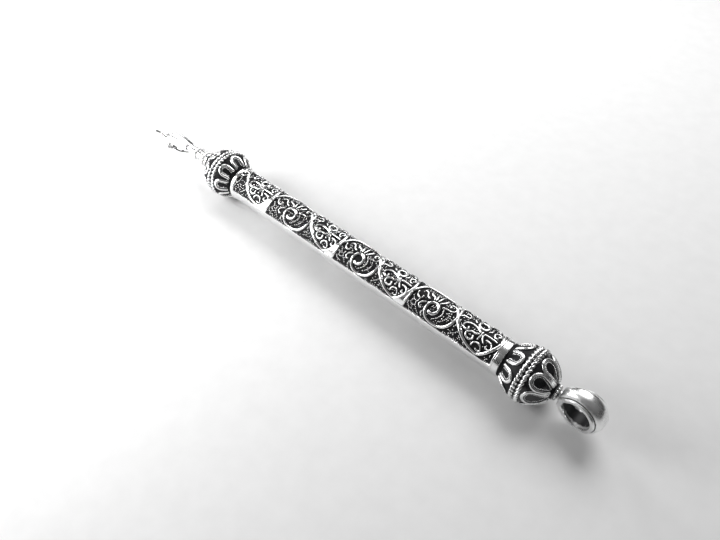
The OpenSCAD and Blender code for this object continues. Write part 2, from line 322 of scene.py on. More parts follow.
class Shape:
    """Vertices, faces and a patina value for each vertex, gathered into one mesh."""

    def __init__(self):
        self.verts, self.faces, self.patina_and_shade, self.count = [], [], [], 0

    def add(self, verts, faces, patina_and_shade=0.0):
        """Adds points and the faces between them, which count from the first of these points."""
        verts = np.asarray(verts, float)
        self.verts.append(verts)
        self.faces += [tuple(int(i) + self.count for i in face) for face in faces]
        self.patina_and_shade.append(np.broadcast_to(np.asarray(patina_and_shade, float), (len(verts),)))
        self.count += len(verts)

    def grid(self, rows, closed_rows=False, closed_columns=False, patina_and_shade=0.0):
        """A skin over a table of points. Closing rows joins the last row to the first."""
        rows = np.asarray(rows, float)
        n, m = rows.shape[:2]
        faces = [
            (i * m + j, i * m + (j + 1) % m, (i + 1) % n * m + (j + 1) % m, (i + 1) % n * m + j)
            for i in range(n if closed_rows else n - 1)
            for j in range(m if closed_columns else m - 1)
        ]
        self.add(rows.reshape(-1, 3), faces, np.broadcast_to(patina_and_shade, (n, m)).reshape(-1))

    def fan(self, ring, patina_and_shade=0.0):
        """Closes a ring of points with triangles to its middle."""
        ring = np.asarray(ring, float)
        n = len(ring)
        self.add(np.vstack([ring, ring.mean(0)]), [(i, (i + 1) % n, n) for i in range(n)], patina_and_shade)

    def link(self, name):
        """Makes the bare object, in metres."""
        mesh = bpy.data.meshes.new(name)
        mesh.from_pydata((np.vstack(self.verts) * MM).tolist(), [], self.faces)
        obj = bpy.data.objects.new(name, mesh)
        bpy.context.scene.collection.objects.link(obj)
        return obj

    def build(self, name, body, slot, material, replaces, smooth_angle):
        """Makes the finished piece, with its patina."""
        obj = self.link(name)
        values = obj.data.attributes.new("patina_and_shade", "FLOAT", "POINT")
        values.data.foreach_set("value", np.concatenate(self.patina_and_shade).astype(np.float32))
        return dress(obj, body, material, replaces, smooth_angle)


def clean_mesh(mesh):
    """Welds points that lie together and turns every face outwards."""
    bm = bmesh.new()
    bm.from_mesh(mesh)
    bmesh.ops.remove_doubles(bm, verts=bm.verts, dist=1e-7)
    bmesh.ops.recalc_face_normals(bm, faces=bm.faces)
    bm.to_mesh(mesh)
    bm.free()


def dress(obj, body, material, replaces, smooth_angle):
    """Cleans and shades a piece, gives it its material, and rides it on a body."""
    clean_mesh(obj.data)
    obj.data.shade_smooth()
    obj.data.set_sharp_from_angle(angle=math.radians(smooth_angle))
    obj.data.materials.clear()
    obj.data.materials.append(material)
    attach(obj, body)
    if replaces:
        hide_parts(*replaces)
    return obj


def keep_node(node, material):
    """Keeps a CAD node as it is and gives it a better material."""
    obj = frame["nodes"][node]
    obj.data.materials.clear()
    obj.data.materials.append(material)


def smooth_path(points, step, closed=False):
    """A Catmull-Rom curve through the points, sampled about every step."""
    p = np.asarray(points, float)
    if closed:
        p = np.vstack([p[-1], p, p[0], p[1]])
    else:
        p = np.vstack([2 * p[0] - p[1], p, 2 * p[-1] - p[-2]])
    path = []
    for a, b, c, d in zip(p[:-3], p[1:-2], p[2:-1], p[3:]):
        count = max(2, int(np.linalg.norm(c - b) / step))
        t = np.linspace(0, 1, count, endpoint=False)[:, None]
        path.append(0.5 * (2 * b + (c - a) * t + (2 * a - 5 * b + 4 * c - d) * t ** 2
                           + (3 * b - a - 3 * c + d) * t ** 3))
    return np.vstack(path) if closed else np.vstack(path + [p[-2:-1]])


def directions(path, closed=False):
    """Unit tangents along a path."""
    if closed:
        d = np.roll(path, -1, 0) - np.roll(path, 1, 0)
    else:
        d = np.gradient(path, axis=0)
    return d / np.maximum(np.linalg.norm(d, axis=1, keepdims=True), 1e-9)


# Half-round wire: places across its width from -1 to 1, heights from 0 to 1, and patina
WIRE_ACROSS = np.array([-1.0, -0.93, -0.68, 0.0, 0.68, 0.93, 1.0])
WIRE_HEIGHT = np.array([-0.15, 0.42, 0.82, 1.0, 0.82, 0.42, -0.15])
WIRE_PATINA = np.array([1.0, 0.85, 0.2, 0.0, 0.2, 0.85, 1.0])


def surface_wire(shape, path, width, height, onto, closed=False):
    """A half-round wire along a path in a flat (u, v) plane, laid onto a curved surface. Open ends
    are rounded. onto turns (u, v, height) tables into points."""
    path = np.asarray(path, float)
    d = directions(path, closed)
    side = np.stack([-d[:, 1], d[:, 0]], 1)
    narrow = np.ones(len(path))
    if not closed:
        run = np.concatenate([[0], np.cumsum(np.linalg.norm(np.diff(path, axis=0), axis=1))])
        from_end = np.minimum(run, run[-1] - run) / (width / 2)
        narrow = np.sqrt(np.clip(1 - (1 - np.clip(from_end, 0, 1)) ** 2, 0.02, 1))
    half = (width / 2 * narrow)[:, None] * WIRE_ACROSS[None]
    u = path[:, :1] + side[:, :1] * half
    v = path[:, 1:] + side[:, 1:] * half
    h = height * WIRE_HEIGHT[None] * np.ones(len(path))[:, None]
    h = np.where(WIRE_HEIGHT > 0, h * (0.4 + 0.6 * narrow[:, None]), h)
    shape.grid(onto(u, v, h), closed_rows=closed, patina_and_shade=np.broadcast_to(WIRE_PATINA, h.shape))
    if not closed:
        for end in (0, -1):
            shape.fan(onto(u[end], v[end], h[end]))


def ring_wire(shape, path, radius, sides=8):
    """A round wire along a closed path in space."""
    d = directions(path, closed=True)
    angles = np.linspace(0, TAU, sides, endpoint=False)[:, None]
    normal = np.cross(d[0], (1.0, 0.0, 0.0))
    rows = []
    for point, tangent in zip(path, d):
        normal = normal - tangent * (normal @ tangent)
        normal /= np.linalg.norm(normal)
        across = np.cross(tangent, normal)
        rows.append(point + radius * (np.cos(angles) * normal + np.sin(angles) * across))
    shape.grid(rows, closed_rows=True, closed_columns=True)


def bead(shape, centre, radius, patina_and_shade=0.0, rings=5, sides=10):
    """A small ball."""
    lat = np.linspace(-math.pi / 2, math.pi / 2, rings + 2)[1:-1]
    lon = np.linspace(0, TAU, sides, endpoint=False)
    rows = np.stack([
        np.cos(lat)[:, None] * np.cos(lon),
        np.cos(lat)[:, None] * np.sin(lon),
        np.broadcast_to(np.sin(lat)[:, None], (rings, sides)),
    ], -1) * radius + np.asarray(centre)
    shape.grid(rows, closed_columns=True, patina_and_shade=patina_and_shade)
    shape.fan(rows[0], patina_and_shade)
    shape.fan(rows[-1], patina_and_shade)


def bead_ring(shape, x, ring_r, bead_r, count, rings, sides):
    """A ring of small balls about the case's axis, polished but for a trace of black."""
    for i in range(count):
        a = TAU * i / count
        centre = (x, ring_r * math.sin(a), AXIS_Z + ring_r * math.cos(a))
        bead(shape, centre, bead_r, 0.05, rings, sides)


def lathe(shape, outline, sides=96):
    """Turns a closed outline of (x, radius) points about the case's axis. A third number in each
    point is its patina."""
    outline = np.asarray(outline, float)
    patina_and_shade = outline[:, 2] if outline.shape[1] == 3 else 0.0
    angles = np.linspace(0, TAU, sides, endpoint=False)
    rows = [
        np.stack([outline[:, 0], outline[:, 1] * math.sin(a), AXIS_Z + outline[:, 1] * math.cos(a)], 1)
        for a in angles
    ]
    shape.grid(rows, closed_rows=True, closed_columns=True, patina_and_shade=patina_and_shade)


def rounded(x0, x1, r_in, r_out, corner, steps=4):
    """Outline of a ring from x0 to x1 whose two outer corners are rounded."""
    points = [(x1, r_in), (x0, r_in)]
    for middle, start in ((x0 + corner, 180), (x1 - corner, 90)):
        for i in range(steps + 1):
            angle = math.radians(start - 90 * i / steps)
            points.append((middle + corner * math.cos(angle), r_out - corner + corner * math.sin(angle)))
    return points


# ---- The tube: blackened ground, bold scrollwork, fine filigree, granules and the plain strip ----

# The work is drawn flat: x along the tube from its far end, s round it from the plain strip's
# upper edge, measured at the outside of the relief. The strip's angles are how far that edge lies
# above the viewer's side, and how far the strip sweeps down from it.
STRIP_ABOVE = math.radians(12)
STRIP_SWEEP = math.radians(62)
WORK_WIDTH = RELIEF_R * (TAU - STRIP_SWEEP)

# One unit's length, the first lobe's middle, and the point about which a half-turn makes the twin
PERIOD = 17.65
FIRST_LOBE = 6.7
TURN_X = FIRST_LOBE + 2.55
TURN_S = WORK_WIDTH / 2

# The work is bent by hand, so its lobes and snails don't stand quite evenly: even place, true place
EVEN = [-20, 6.7, 16.4, 24.35, 34.05, 42.0, 51.7, 59.65, 90]
TRUE = [-20, 6.7, 16.3, 25.4, 33.9, 42.3, 50.9, 59.8, 90]


def onto_tube(x, s, height):
    """Points on the tube for flat places: the angle grows from the strip's edge over the top."""
    angle = STRIP_ABOVE + s / RELIEF_R
    r = TUBE_R + height
    return np.stack([TUBE_START + x, -r * np.cos(angle), AXIS_Z + r * np.sin(angle)], -1)


# Bold lines of one unit: width, then points (x from the first lobe's middle, s)
BOLD = {
    "vine": (0.6, [(-6.3, 8.83), (-5.5, 6.9), (-4.3, 4.8), (-3.1, 3.0), (-1.6, 1.5), (-0.1, 0.6),
                   (1.5, 0.3), (2.8, 1.4), (3.8, 2.9), (4.2, 4.1), (4.1, 5.3), (3.4, 7.0),
                   (2.55, 8.83)]),
    "arch": (0.57, [(4.2, 3.5), (4.8, 4.4), (5.6, 5.8), (6.6, 6.8), (8.2, 7.3), (10.4, 7.3),
                    (12.2, 6.8), (13.3, 5.8)]),
    "snail": (0.6, [(12.5, 8.2), (13.2, 6.9), (13.7, 5.2), (13.8, 3.7), (13.4, 2.1), (12.4, 0.8),
                    (10.9, 0.25), (9.4, 0.7), (8.6, 1.8), (8.5, 2.9), (9.0, 3.75), (9.9, 4.0),
                    (10.6, 3.5), (10.7, 2.7), (10.2, 2.0), (9.5, 1.9), (9.1, 2.3)]),
}
# The lobe's prop, the two edges of the plain web beside it, the drop in the lobe and its stems
PROP = (0.6, [(4.35, 3.6), (4.3, 2.4), (4.0, 1.2), (3.8, 0.05)])
WEB_START = [(1.5, 0.2), (2.8, 1.3), (3.8, 2.8), (4.3, 3.6)]
WEB_END = [(1.6, -0.1), (3.8, -0.1), (4.1, 1.2), (4.4, 3.5)]
DROP = (0.56, [(0.2, 6.4), (0.85, 6.15), (1.05, 5.6), (0.8, 5.0), (0.2, 4.8), (-0.4, 5.0),
               (-0.65, 5.6), (-0.45, 6.15)])
DROP_STEMS = [(0.34, [(-0.5, 5.9), (-0.9, 6.9), (-1.7, 8.2), (-2.6, 9.6)]),
              (0.34, [(0.75, 6.2), (0.0, 7.3), (-1.1, 8.6), (-2.4, 9.9)])]

# Strokes of fine wire: the palmette under the drop and the fan over the snail
STROKES = [
    [(1.0, 4.15), (2.3, 4.2), (3.7, 4.1)],
    [(0.5, 4.0), (-0.5, 4.5), (-1.6, 4.6), (-2.4, 4.1), (-2.4, 3.4), (-1.9, 3.1), (-1.5, 3.5),
     (-1.8, 3.8)],
    [(0.4, 3.8), (-0.2, 3.4), (-0.9, 3.35), (-1.5, 2.8), (-1.3, 2.1), (-0.7, 1.9), (-0.2, 2.4),
     (-0.5, 2.9)],
    [(0.65, 4.5), (0.7, 3.7), (0.5, 2.6)],
    [(0.9, 3.9), (1.3, 3.2), (1.8, 2.6)],
    [(9.2, 4.4), (8.7, 5.0), (7.9, 5.3), (7.5, 6.0)],
    [(9.5, 4.5), (9.2, 5.3), (9.0, 6.4)],
    [(9.9, 4.5), (10.0, 5.4), (10.2, 6.6)],
    [(10.3, 4.3), (10.9, 5.2), (11.2, 6.1)],
]
# Curls of fine wire
CURLS = [
    [(1.7, 3.4), (2.3, 3.4), (3.0, 3.2), (3.3, 2.6), (3.0, 2.1), (2.4, 2.2), (2.5, 2.7)],
    [(0.0, 1.1), (0.2, 1.9), (0.9, 2.2), (1.6, 1.9), (1.8, 1.2), (1.3, 0.9), (0.9, 1.2)],
    [(-2.6, 2.7), (-2.1, 2.4), (-2.0, 1.9)],
    [(3.4, 4.7), (2.7, 4.8), (2.4, 5.4), (2.8, 5.9), (3.4, 5.8), (3.4, 5.3), (3.0, 5.3)],
    [(-3.7, 4.6), (-3.2, 5.2), (-2.5, 5.2), (-2.3, 5.8), (-2.8, 6.2), (-3.3, 5.9)],
    [(-1.0, 5.3), (-1.5, 5.8), (-1.4, 6.6)],
    [(1.3, 5.0), (1.8, 5.4), (1.7, 6.2), (2.2, 6.9), (2.9, 6.8), (2.7, 6.3)],
    [(-4.7, 6.6), (-3.9, 7.0), (-3.3, 7.7), (-3.7, 8.4), (-4.4, 8.2), (-4.2, 7.7)],
    [(-2.4, 6.9), (-2.9, 7.5), (-2.5, 8.1), (-2.0, 7.8)],
    [(0.9, 7.0), (1.6, 7.6), (2.2, 8.3), (1.7, 8.9), (1.2, 8.5)],
    [(10.9, 4.0), (11.8, 4.2), (12.6, 4.3), (13.0, 4.9), (12.7, 5.6), (12.0, 5.6), (11.9, 5.1),
     (12.3, 5.0)],
    [(8.3, 4.1), (7.5, 4.4), (7.1, 5.0), (6.6, 5.2), (6.3, 4.7)],
    [(5.4, 4.5), (5.6, 3.7), (6.2, 3.3), (6.8, 3.6), (6.7, 4.1)],
    [(8.0, 3.3), (7.4, 3.0), (6.9, 2.4), (7.2, 1.8), (7.7, 1.9)],
]
# Rows of touching granules: before the snail, behind it and between it and the next lobe
BEADED = [
    [(11.4, 3.7), (11.6, 2.8), (11.2, 1.9), (10.5, 1.2)],
    [(12.4, 3.7), (12.6, 2.9), (12.2, 2.0), (11.6, 1.4)],
    [(5.1, 3.1), (5.5, 2.5), (5.2, 1.9), (5.6, 1.4), (6.2, 1.6)],
    [(6.4, 2.7), (6.2, 2.1), (6.6, 1.4), (7.1, 0.8)],
    [(4.7, 1.2), (5.2, 0.7), (5.9, 0.6)],
    [(8.2, 1.5), (8.0, 1.0), (8.3, 0.5)],
    [(14.4, 4.0), (14.4, 3.1), (14.1, 2.3)],
    [(15.0, 3.3), (15.1, 2.5), (15.0, 1.8), (14.5, 1.2), (13.9, 0.7)],
    [(15.7, 2.2), (15.8, 1.5), (15.5, 0.8)],
    [(16.5, 1.4), (16.5, 0.7)],
]
STROKE_WIDTH, CURL_WIDTH, FINE_HEIGHT = 0.38, 0.31, 0.25
BOLD_STEP, FINE_STEP, WEB_STEP = 0.2, 0.12, 0.05
BEAD_R, BEAD_GAP, BEAD_HEIGHT = 0.13, 0.3, 0.1

# Loose granules: radius, height, spacing, how far they stray and the share of free places they take
GRANULE_R, GRANULE_HEIGHT, GRANULE_GAP, GRANULE_STRAY, GRANULE_SHARE = 0.12, 0.06, 0.46, 0.15, 0.6

# The work runs on a little way under the two end rings. The arch and the snail start further in,
# and the props and webs end well before the mouth.
WORK_LOW = WORK_START - TUBE_START - 0.15
WORK_HIGH = WORK_END - TUBE_START + 0.15
FIRST_ARCH = WORK_LOW + 2.5
LAST_PROP = WORK_HIGH - 5


def repeated(path):
    """A unit's path at every period along the tube, with its half-turned twin."""
    for k in range(-2, 5):
        shifted = np.asarray(path, float) + (FIRST_LOBE + k * PERIOD, 0)
        for copy in (shifted, (2 * TURN_X, 2 * TURN_S) - shifted):
            yield np.stack([np.interp(copy[:, 0], EVEN, TRUE), copy[:, 1]], 1)


def inside_runs(path, low, high, least=4):
    """The stretches of a path, of at least so many points, between two places along the tube."""
    inside = (path[:, 0] > low) & (path[:, 0] < high)
    runs, start = [], None
    for i, flag in enumerate(list(inside) + [False]):
        if flag and start is None:
            start = i
        if not flag and start is not None:
            if i - start >= least:
                runs.append(path[start:i])
            start = None
    return runs


class Scrollwork:
    """The work on the tube: bold lines, fine wires and granules. drawn keeps each line and its
    width, so that the loose granules find the free ground."""

    def __init__(self):
        self.bold, self.fine, self.grains = Shape(), Shape(), Shape()
        self.drawn = []

    def line(self, shape, path, width, height, start=WORK_LOW, end=WORK_HIGH):
        """The repeats of an open line, cut off at start and end."""
        for copy in repeated(path):
            for run in inside_runs(copy, start, end):
                surface_wire(shape, run, width, height, onto_tube)
                self.drawn.append((run, width))

    def loop(self, shape, path, width, height):
        """The repeats of a closed line that lie whole on the tube."""
        for copy in repeated(path):
            if copy[:, 0].min() > WORK_LOW and copy[:, 0].max() < WORK_HIGH:
                surface_wire(shape, copy, width, height, onto_tube, closed=True)
                self.drawn.append((copy, width))

    def beaded_row(self, path):
        """The repeats of a row of touching granules."""
        for copy in repeated(path):
            for run in inside_runs(copy, WORK_LOW + BEAD_GAP, WORK_HIGH - BEAD_GAP, 2):
                self.drawn.append((run, 2 * BEAD_R))
                for x, s in run:
                    bead(self.grains, onto_tube(x, s, BEAD_HEIGHT), BEAD_R, rings=4, sides=8)

    def webs(self):
        """The plain web beside each lobe, where its line and its prop run into the strip."""
        rows, columns = 8, 24
        edges = [smooth_path(points, WEB_STEP) for points in (WEB_START, WEB_END)]
        edges = [edge[np.linspace(0, len(edge) - 1, columns).astype(int)] for edge in edges]
        blend = np.linspace(0, 1, rows)[:, None, None]
        web = edges[0][None] * (1 - blend) + edges[1][None] * blend
        for copy in repeated(web.reshape(-1, 2)):
            if copy[:, 0].min() > WORK_LOW and copy[:, 0].max() < LAST_PROP:
                table = copy.reshape(web.shape)
                self.bold.grid(onto_tube(table[..., 0], table[..., 1], 0.85 * RELIEF))
                self.drawn += [(row, PROP[0]) for row in table]

    def free_places(self, chance):
        """Places on the ground, a little uneven, that no line comes near."""
        points = [(p, width / 2) for path, width in self.drawn for p in path]
        tree = kdtree.KDTree(len(points))
        for i, (p, _) in enumerate(points):
            tree.insert((p[0], p[1], 0), i)
        tree.balance()
        margin, last = 0.3, WORK_WIDTH - 0.25
        places = []
        for x in np.arange(WORK_LOW + margin, WORK_HIGH - margin, GRANULE_GAP):
            for s in np.arange(margin, last, GRANULE_GAP):
                spot = (x + chance.uniform(-GRANULE_STRAY, GRANULE_STRAY),
                        s + chance.uniform(-GRANULE_STRAY, GRANULE_STRAY))
                _, index, distance = tree.find((spot[0], spot[1], 0))
                room = points[index][1] + 1.25 * GRANULE_R
                if distance > room and chance.random() < GRANULE_SHARE:
                    places.append(spot)
        return places

    def loose_granules(self):
        """Granules of uneven size on the free places."""
        chance = random.Random(7)
        for x, s in self.free_places(chance):
            radius = GRANULE_R * chance.uniform(0.75, 1.15)
            bead(self.grains, onto_tube(x, s, GRANULE_HEIGHT), radius, 0.35, rings=4, sides=8)


def make_scrollwork():
    """The three pieces of the work, drawn from the bold lines down to the loose granules."""
    work = Scrollwork()
    for name, (width, points) in BOLD.items():
        start = WORK_LOW if name == "vine" else FIRST_ARCH
        work.line(work.bold, smooth_path(points, BOLD_STEP), width, RELIEF, start)
    work.line(work.bold, smooth_path(PROP[1], BOLD_STEP), PROP[0], RELIEF, end=LAST_PROP)
    work.loop(work.bold, smooth_path(DROP[1], FINE_STEP, closed=True), DROP[0], RELIEF)
    for width, points in DROP_STEMS:
        work.line(work.bold, smooth_path(points, BOLD_STEP), width, 0.9 * RELIEF)
    for points in STROKES:
        work.line(work.fine, smooth_path(points, FINE_STEP), STROKE_WIDTH, FINE_HEIGHT)
    for points in CURLS:
        work.line(work.fine, smooth_path(points, FINE_STEP), CURL_WIDTH, FINE_HEIGHT)
    for points in BEADED:
        work.beaded_row(smooth_path(points, BEAD_GAP))
    work.webs()
    work.loose_granules()
    work.bold.build("bold_scrollwork", "case", "worked_silver", WORKED, ["scrollwork_sleeve"], 60)
    work.fine.build("fine_filigree", "case", "worked_silver", WORKED, (), 60)
    work.grains.build("tube_granules", "case", "worked_silver", WORKED, (), 60)


def make_strip():
    """The plain strip along the tube, with rolled edges and a fine seam."""
    edge_r, seam_place, seam_depth, seam_width = 0.1, 0.72, 0.06, 0.07
    wide = STRIP_SWEEP * RELIEF_R
    across = np.linspace(0, 1, 41)
    from_edge = np.clip(np.minimum(across, 1 - across) * wide / edge_r, 0, 1)
    h = RELIEF * np.sqrt(np.clip(1 - (1 - from_edge) ** 2, 0, 1))
    h -= seam_depth * np.exp(-((across - seam_place) * wide / seam_width) ** 2)
    h[0] = h[-1] = -0.05
    places = np.linspace(WORK_START - TUBE_START, WORK_END - TUBE_START, 60)
    strip = Shape()
    strip.grid([onto_tube(np.full_like(h, x), -across * wide, h) for x in places])
    strip.build("plain_strip", "case", "bright_silver", SILVER, ["seam_strip"], 60)


def make_tube_rings():
    """The rim at the far end, and the ferrule at the mouth with its raised lip."""
    seat = TUBE_R - 0.02
    rim = Shape()
    low, high = node_box("far_rim_ring")
    lathe(rim, rounded(low[0], high[0], seat, RIM_R, 0.22))
    rim.build("far_rim", "case", "bright_silver", SILVER, ["far_rim_ring"], 50)
    ferrule = Shape()
    low, high = node_box("mouth_ferrule")
    lip, overlap, step = 0.35, 0.05, 0.08
    lathe(ferrule, rounded(low[0], low[0] + lip, seat, RIM_R, 0.15))
    lathe(ferrule, rounded(low[0] + lip - overlap, high[0], seat, RIM_R - step, 0.15))
    ferrule.build("ferrule", "case", "bright_silver", SILVER, ["mouth_ferrule"], 50)


make_scrollwork()
make_strip()
make_tube_rings()
keep_node("tube", BLACK)
keep_node("end_plug", SILVER)


# ---- The balls: domes, petals, granules and ropes ----

class Ball:
    """A ball on the case's axis. Places on it are in degrees: azimuth from the viewer's side over
    the top, and latitude from the equator to the pole at +X (1) or -X (-1)."""

    def __init__(self, x, pole):
        self.x, self.pole = x, pole

    def at(self, azimuth, latitude, height):
        """Points at a height over the dome's shell."""
        az, lat = np.radians(azimuth), np.radians(latitude)
        r = SHELL_R + height
        return np.stack([
            self.x + self.pole * r * np.sin(lat),
            -r * np.cos(lat) * np.cos(az),
            AXIS_Z + r * np.cos(lat) * np.sin(az),
        ], -1)


def petal_outline(width, start, end, foot_width, step=0.12):
    """A U on a flat (across, along) plane: round end at start, legs to end, in millimetres."""
    r = width / 2
    angles = np.radians(np.linspace(0, 180, 15))
    tip = np.stack([r * np.cos(angles), start + r - r * np.sin(angles)], 1)
    n = max(4, int((end - start - r) / step))
    t = np.linspace(0, 1, n)[1:, None]
    leg = np.hstack([r + (foot_width / 2 - r) * t ** 1.3, start + r + (end - start - r) * t])
    return np.vstack([leg[::-1], tip, leg * (-1, 1)])


PETALS, PETAL_WIRE, PETAL_BEAD_R = 8, 0.58, 0.13
INNER_PETALS = dict(width=2.1, start=1.35, end=4.05, foot=1.75)
ROPE_TWISTS, STRAND_SHARE = 18, 0.55


def make_petals(ball, turn, width, start, end, foot):
    """Petals of bent wire round a dome, with granules along the inside of each."""
    wires, grains = Shape(), Shape()
    taken = PETAL_WIRE + 2 * PETAL_BEAD_R
    outline = petal_outline(width, start, end, foot)
    inner = petal_outline(width - taken, start + taken / 2, end - 0.3, foot - taken)
    run = np.concatenate([[0], np.cumsum(np.linalg.norm(np.diff(inner, axis=0), axis=1))])
    for k in range(PETALS):
        middle = turn + k * 360 / PETALS

        # u is length across at the latitude itself, so it widens the azimuth towards the pole
        def laid(u, v, h, middle=middle):
            latitude = np.degrees(v / SHELL_R)
            azimuth = middle + np.degrees(u / (SHELL_R * np.cos(np.radians(latitude))))
            return ball.at(azimuth, latitude, h)

        surface_wire(wires, outline, PETAL_WIRE, BALL_R - SHELL_R - 0.03, laid)
        for place in np.arange(0.1, run[-1], 2.15 * PETAL_BEAD_R):
            u = np.interp(place, run, inner[:, 0])
            v = np.interp(place, run, inner[:, 1])
            bead(grains, laid(u, v, 0.02), PETAL_BEAD_R, 0.45)
    return wires, grains


def make_rope(name, x, body, node, twist):
    """Two strands twisted together and bent into a ring."""
    rope = Shape()
    low, high = node_box(node)
    rope_r = (high[0] - low[0]) / 2
    path_r = (high[1] - low[1]) / 2 - rope_r
    strand_r = rope_r * STRAND_SHARE
    ring = np.linspace(0, TAU, 12 * ROPE_TWISTS, endpoint=False)
    for phase in (0, math.pi):
        turn = twist * ROPE_TWISTS * ring + phase
        r = path_r + (rope_r - strand_r) * np.cos(turn)
        along = x + (rope_r - strand_r) * np.sin(turn)
        path = np.stack([along, r * np.sin(ring), AXIS_Z + r * np.cos(ring)], 1)
        ring_wire(rope, path, strand_r)
    return rope.build(name, body, "bright_silver", WORKED, [node], 60)


def set_rope_patina(obj, ball_x):
    """Darkens a rope towards its ball, where polish doesn't reach."""
    polished, fade = 0.08, 0.3
    co = np.array([v.co for v in obj.data.vertices]) / MM
    r = np.sqrt((co[:, 0] - ball_x) ** 2 + co[:, 1] ** 2 + (co[:, 2] - AXIS_Z) ** 2)
    depth = np.clip((BALL_R - polished - r) / fade, 0, 1)
    obj.data.attributes["patina_and_shade"].data.foreach_set("value", depth.astype(np.float32))


def make_dome(prefix, side, x, pole, body, turn, petals):
    """Half a ball: the petals and granules on its dome, and its rope on the equator."""
    name = f"{prefix}_{side}"
    wires, grains = make_petals(Ball(x, pole), turn, **petals)
    wires.build(f"{name}_petal_wires", body, "worked_silver", WORKED, [f"{name}_petals"], 60)
    grains.build(f"{name}_petal_granules", body, "worked_silver", WORKED, (), 60)
    low, high = node_box(f"{name}_rope")
    rope_x = (low[0] + high[0]) / 2
    set_rope_patina(make_rope(f"{name}_twisted_rope", rope_x, body, f"{name}_rope", pole), x)


def make_ball(prefix, x, body, inner_turn, outer_turn, outer_petals):
    """A ball: its inner dome faces the tube. The turns place the petals, in degrees."""
    inward = 1 if prefix == "far" else -1
    make_dome(prefix, "inner", x, inward, body, inner_turn, INNER_PETALS)
    make_dome(prefix, "outer", x, -inward, body, outer_turn, outer_petals)


make_ball("far", FAR_BALL_X, "case", 58, 80, dict(width=2.1, start=1.35, end=4.4, foot=1.5))
make_ball("cap", NEAR_BALL_X, "cap", 71, 53, dict(width=2.75, start=1.35, end=5.6, foot=1.0))
for node in ("far_inner_dome", "far_outer_dome", "far_collar", "cap_inner_dome", "cap_collar"):
    keep_node(node, BLACK)
keep_node("cap_outer_dome", GLOSS_BLACK)
keep_node("cap_plug", SILVER)
keep_node("swivel_pin", SILVER)


# ---- The near end: granules, neck bead and bail ----

def make_neck():
    """The turned neck under the bail, and the ring of granules on the ball's pole."""
    low, high = node_box("neck_bead")
    x0, x1 = low[0], high[0]
    plate_r = (high[1] - low[1]) / 2
    pin_r = (node_box("swivel_pin")[1][1] - node_box("swivel_pin")[0][1]) / 2
    neck = Shape()
    lathe(neck, [
        (x0, pin_r, 1), (x0, plate_r, 1), (x0 + 0.3, plate_r, 0.9), (x0 + 0.42, plate_r * 0.93, 0.6),
        (x0 + 0.45, 0.75, 1), (x0 + 0.6, 0.66, 0.8), (x0 + 0.8, 0.63, 0.5), (x1 - 0.4, 0.68, 0.6),
        (x1 - 0.34, 0.82, 0.1), (x1 - 0.28, 0.87, 0), (x1 - 0.1, 0.87, 0), (x1 - 0.02, 0.8, 0.1),
        (x1, 0.7, 0.6), (x1, pin_r, 1),
    ], 64)
    neck.build("neck", "cap", "bright_silver", WORKED, ["neck_bead"], 50)
    low, high = node_box("pole_granules")
    granule_r, count = 0.25, 14
    grains = Shape()
    middle, ring_r = (low[0] + high[0]) / 2, (high[1] - low[1]) / 2 - granule_r
    bead_ring(grains, middle, ring_r, granule_r, count, rings=7, sides=14)
    grains.build("pole_beads", "cap", "worked_silver", WORKED, ["pole_granules"], 60)


def outline_radius(angle, r, back, flat):
    """Distance at an angle from a circle's middle to the circle, or to the flat foot behind it, of
    half width flat, that tangents join to the circle."""
    reach = math.hypot(back, flat)
    touch = math.pi - math.atan2(flat, back) - math.acos(r / reach)
    away = abs(math.remainder(angle, TAU))
    if away <= touch:
        return r
    corner = math.pi - math.atan2(flat, back)
    if away >= corner:
        return back / -math.cos(away)
    return r / math.cos(away - touch)


def bail_section(inner, rim, dome_r, half, limit):
    """One cut through the band, as (radius, width, patina): a domed outside between two rims, no further
    out than limit, and an inside that darkens towards its middle."""
    rims = [0.86, 0.92, 0.98, 1]
    outside = [-t for t in reversed(rims)] + list(np.linspace(-0.82, 0.82, 23)) + rims
    inside = ((0.98, 0.06, 0.0), (0.9, 0.0, 0.35), (0.5, 0.0, 0.8), (0.0, 0.0, 0.85),
              (-0.5, 0.0, 0.8), (-0.9, 0.0, 0.35), (-0.98, 0.06, 0.0))
    groove = 0.14
    section = []
    for t in outside:
        y, r, dark = t * half, rim, 0.0
        if abs(t) > 0.95:
            r = rim - 0.1
        elif abs(t) < 0.85:
            lift = math.sqrt(max(0.0, 1 - (t / 0.84) ** 4))
            r = rim - groove + (math.sqrt(dome_r ** 2 - y ** 2) - rim + groove) * lift
            dark = 0.95 if abs(t) > 0.79 else 0.0
        section.append((min(r, limit), y, dark))
    return section + [(inner + sink, t * half, dark) for t, sink, dark in inside]


def make_bail():
    """The bail: a ring with a flat foot, wider at its crown than at its foot."""
    low, high = node_box("bail")
    eye = frame["record"]["mounts"][0]
    hole = np.array(eye["pos_m"]) / MM
    hole_r = eye["dims"]["r_mm"]
    dome_r = high[0] - hole[0]
    foot = hole[0] - low[0]
    rim_r = hole_r + 0.65
    foot_width, crown_width = 2.6, high[1] - low[1]
    hole_back, hole_flat, rim_flat = 2.7, 0.62, 0.95
    rows = []
    for turn in np.linspace(0, TAU, 144, endpoint=False):
        inner = outline_radius(turn, hole_r, hole_back, hole_flat)
        rim = outline_radius(turn, rim_r, foot, rim_flat)
        limit = foot / -math.cos(turn) if math.cos(turn) < -1e-3 else math.inf
        up = (math.cos(turn) * (inner + rim) / 2 + foot) / (foot + dome_r)
        half = (foot_width + (crown_width - foot_width) * up) / 2
        rows.append([
            (hole[0] + r * math.cos(turn), y, hole[2] + r * math.sin(turn), dark)
            for r, y, dark in bail_section(inner, rim, dome_r, half, limit)
        ])
    rows = np.array(rows)
    band = Shape()
    band.grid(rows[..., :3], closed_rows=True, closed_columns=True, patina_and_shade=rows[..., 3])
    band.build("bail_band", "bail", "bright_silver", WORN, ["bail"], 50)


make_neck()
make_bail()


# ---- The far end: cup, sleeve, rings and hand ----

